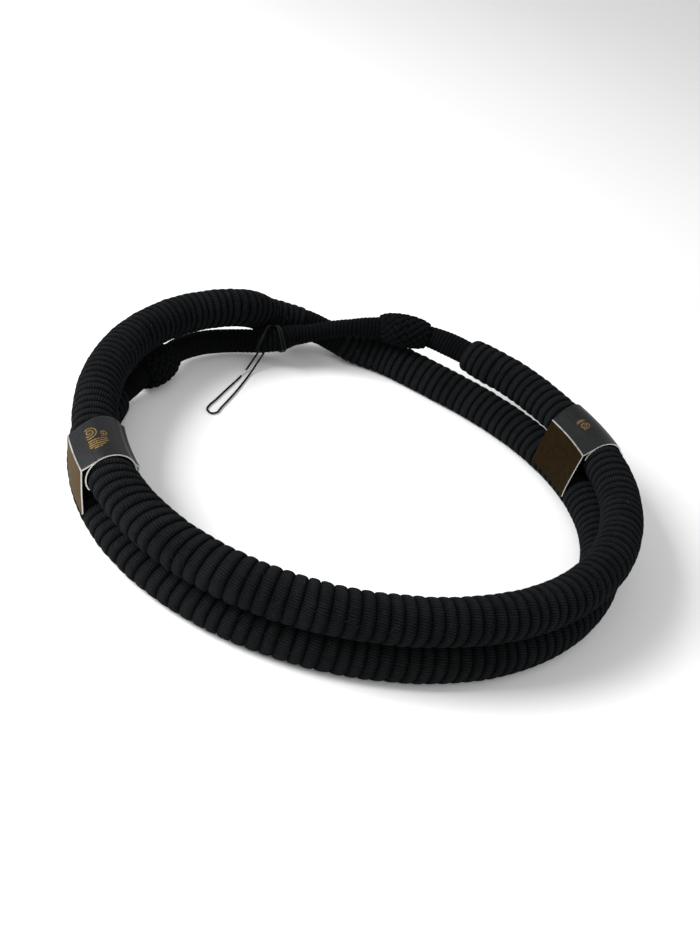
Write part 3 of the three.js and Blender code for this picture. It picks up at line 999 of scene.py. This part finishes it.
def gold_foil():
    material, tree, shader = new_material("gold_foil", Metallic=0.85)
    wear = noise(tree, 0.35 * MM, 4.0)
    stops = [(0.38, (0.05, 0.03, 0.01)), (0.6, (0.36, 0.22, 0.07))]
    colour_by(tree, wear, stops, shader.inputs["Base Color"])
    colour_by(tree, wear, [(0.3, grey(0.5)), (0.8, grey(0.28))], shader.inputs["Roughness"])
    bump(tree, shader, wear, 0.03 * MM)
    return material


def scroll(size, turns, shift=(0, 0), points=60):
    """A spiral from its eye to its rim, as (along, around) places in mm, with its middle shifted."""
    share = np.linspace(0.12, 1, points)
    angle = share * turns * 2 * math.pi
    spiral = np.column_stack((np.cos(angle), np.sin(angle))) * (share * size)[:, None]
    return (spiral + shift) * MM


def bar(place, length):
    """A straight stroke round the rope, in mm."""
    return np.column_stack((np.full(8, place), np.linspace(-length / 2, length / 2, 8))) * MM


def stamped(name, label, middle_share, middle_angle, lines, width):
    """Ribbons on a label's sleeve, round a middle at that share of its length and angle in degrees."""
    radius = SLEEVE_RADIUS + CARD_THICKNESS / 2 + FOIL_HEIGHT
    origin = length_at(LABELS[label]["turn"]) + SLEEVE_LENGTH * middle_share
    ribbons = []
    for line in lines:
        direction = unit(np.gradient(line, axis=0))
        across = np.column_stack((-direction[:, 1], direction[:, 0])) * width / 2
        flat = np.stack((line - across, line + across), 1)
        angle = math.radians(middle_angle) + flat[..., 1] / radius
        ribbons.append(on_rope(origin + flat[..., 0], angle, radius))
    points = np.vstack([ribbon.reshape(-1, 3) for ribbon in ribbons])
    piece = mesh_object(name, points, np.vstack(quads_of_grids(ribbons, around=False)))
    piece.data.materials.append(foil)


foil = gold_foil()
large_bars = [bar(-0.8, 6.6), bar(-1.7, 7.4), bar(-2.6, 6.8), bar(-3.5, 5.0), bar(-4.3, 2.6)]
left_lines = [scroll(2.6, 2.6, (2.9, -1.4)), scroll(1.3, 1.6, (1.4, 2.6)), *large_bars]
side_lines = [bar(place, 1.6) for place in (-2.4, -1.4, 0.2, 1.2)]
right_lines = [scroll(1.9, 2.1), bar(-2.6, 3.6), bar(-3.3, 2.6)]
stamped("ornament_left", "label_left", -0.02, 66, left_lines, 0.42 * MM)
stamped("ornament_left_side", "label_left", 0.02, 33, side_lines, 0.4 * MM)
stamped("ornament_right", "label_right", -0.05, 118, right_lines, 0.4 * MM)
print("strokes of gold:", len(left_lines) + len(side_lines) + len(right_lines))

# %% [markdown]
# Wool is never clean-cut. Short hairs stand off the winding, most of them black and a few
# pale with dust. A hair system can't be exported, so the fibres are small bent blades,
# placed by the seeded random generator. They stay within half a millimetre of the ribs.

# %% Stray fibres
FIBRE_STEPS = 6
FIBRE_SIDES = 3
FIBRE_ROOT = ROPE_DIAMETER / 2 - 0.25 * MM
ABOVE_TABLE = 0.05 * MM
UNDER_LABEL = 13 * MM


def fibre_finish(name, colour):
    material, tree, shader = new_material(name, Roughness=0.9, Specular_IOR_Level=0.1)
    tone = noise(tree, 1.0 * MM, 2.0)
    stops = [(0.3, tuple(0.5 * c for c in colour)), (0.7, colour)]
    colour_by(tree, tone, stops, shader.inputs["Base Color"])
    return material


def stray_fibres(name, spans, count, longest, height, width, finish):
    """Bent three-sided blades over the rope's ribs, with both ends in the wool."""
    start, end = np.array(spans).T
    share = rng.uniform(0, 1, count)
    span = rng.choice(len(spans), count, p=(end - start) / np.sum(end - start))
    length = start[span] + (end - start)[span] * share
    angle = rng.uniform(0, 2 * math.pi, count)
    way = rng.uniform(0, 2 * math.pi, count)
    reach = longest * rng.uniform(0.35, 1, count)
    steps = np.linspace(0, 1, FIBRE_STEPS)
    curl = rng.uniform(-0.8, 0.8, count)[:, None] * steps
    rise = height * rng.uniform(0.3, 1, count)[:, None] * np.sin(np.pi * steps)

    heading = way[:, None] + curl
    travel = reach[:, None] * (steps - 0.5)
    places = length[:, None] + travel * np.cos(heading)
    angles = angle[:, None] + travel * np.sin(heading) / FIBRE_ROOT
    line = on_rope(places, angles, FIBRE_ROOT + rise)
    _, outward, up, along = frame_at(places)
    radial = outward * np.cos(angles)[..., None] + up * np.sin(angles)[..., None]
    points = np.stack((line + along * width, line - along * width, line + radial * width * 1.6), 2)
    points[..., 2] = np.maximum(points[..., 2], ABOVE_TABLE)
    one_fibre = grid_quads(FIBRE_STEPS, FIBRE_SIDES, around=True)
    first_corner = np.arange(count)[:, None, None] * FIBRE_STEPS * FIBRE_SIDES
    quads = (first_corner + one_fibre).reshape(-1, 4)
    piece = mesh_object(name, points, quads)
    piece.data.materials.append(finish)
    print(name, "has", count, "fibres and", 2 * len(quads), "triangles")


covered = [length_at(row["turn"]) + hand * UNDER_LABEL for row in LABELS.values() for hand in (-1, 1)]
bare = [(2 * MM, covered[0]), (covered[1], covered[2]), (covered[3], waist_start), (waist_end, lower_end)]
stray_fibres("dark_fibres", bare, 4200, 3.2 * MM, 0.42 * MM, 0.018 * MM,
             fibre_finish("dark_fibre", (0.03, 0.033, 0.036)))
stray_fibres("dusty_fibres", bare, 170, 2.2 * MM, 0.35 * MM, 0.014 * MM,
             fibre_finish("dusty_fibre", (0.17, 0.18, 0.18)))

# %% [markdown]
# The scene is plain: a pale floor, a bright even sky and two large soft lights, as in a
# small studio. Black wool needs more light than the floor does, and large lamps give its
# ribs soft highlights without hard shadows.

# %% Floor and lights
FLOOR_REACH = 6
SKY_STRENGTH = 0.62


def pale_floor():
    material, tree, shader = new_material("pale_floor", Roughness=0.9)
    tone = noise(tree, 0.4, 1.0)
    colour_by(tree, tone, [(0.2, grey(0.80)), (0.8, grey(0.84))], shader.inputs["Base Color"])
    return material


def soft_light(name, place, size, power):
    """A square lamp at that place, turned towards the middle of the ring."""
    light = bpy.data.lights.new(name, "AREA")
    light.size = size
    light.energy = power
    lamp = bpy.data.objects.new(name, light)
    lamp.location = place
    lamp.rotation_euler = Vector(place).to_track_quat("Z", "Y").to_euler()
    bpy.context.scene.collection.objects.link(lamp)


floor_mesh = bpy.data.meshes.new("floor")
floor_corners = [(x * FLOOR_REACH, y * FLOOR_REACH, 0) for x, y in ((-1, -1), (1, -1), (1, 1), (-1, 1))]
floor_mesh.from_pydata(floor_corners, [], [(0, 1, 2, 3)])
floor_mesh.materials.append(pale_floor())
floor = bpy.data.objects.new("floor", floor_mesh)
floor.location.z = -0.05 * MM
bpy.context.scene.collection.objects.link(floor)

world = bpy.data.worlds.new("sky")
world.use_nodes = True
sky = world.node_tree.nodes["Background"]
sky.inputs["Color"].default_value = (1, 1, 1, 1)
sky.inputs["Strength"].default_value = SKY_STRENGTH
bpy.context.scene.world = world
bpy.context.scene.view_settings.view_transform = "Standard"

soft_light("key", (-0.75, -0.25, 0.6), 0.5, 16.5)
soft_light("fill", (0.2, -0.8, 0.8), 0.8, 3)
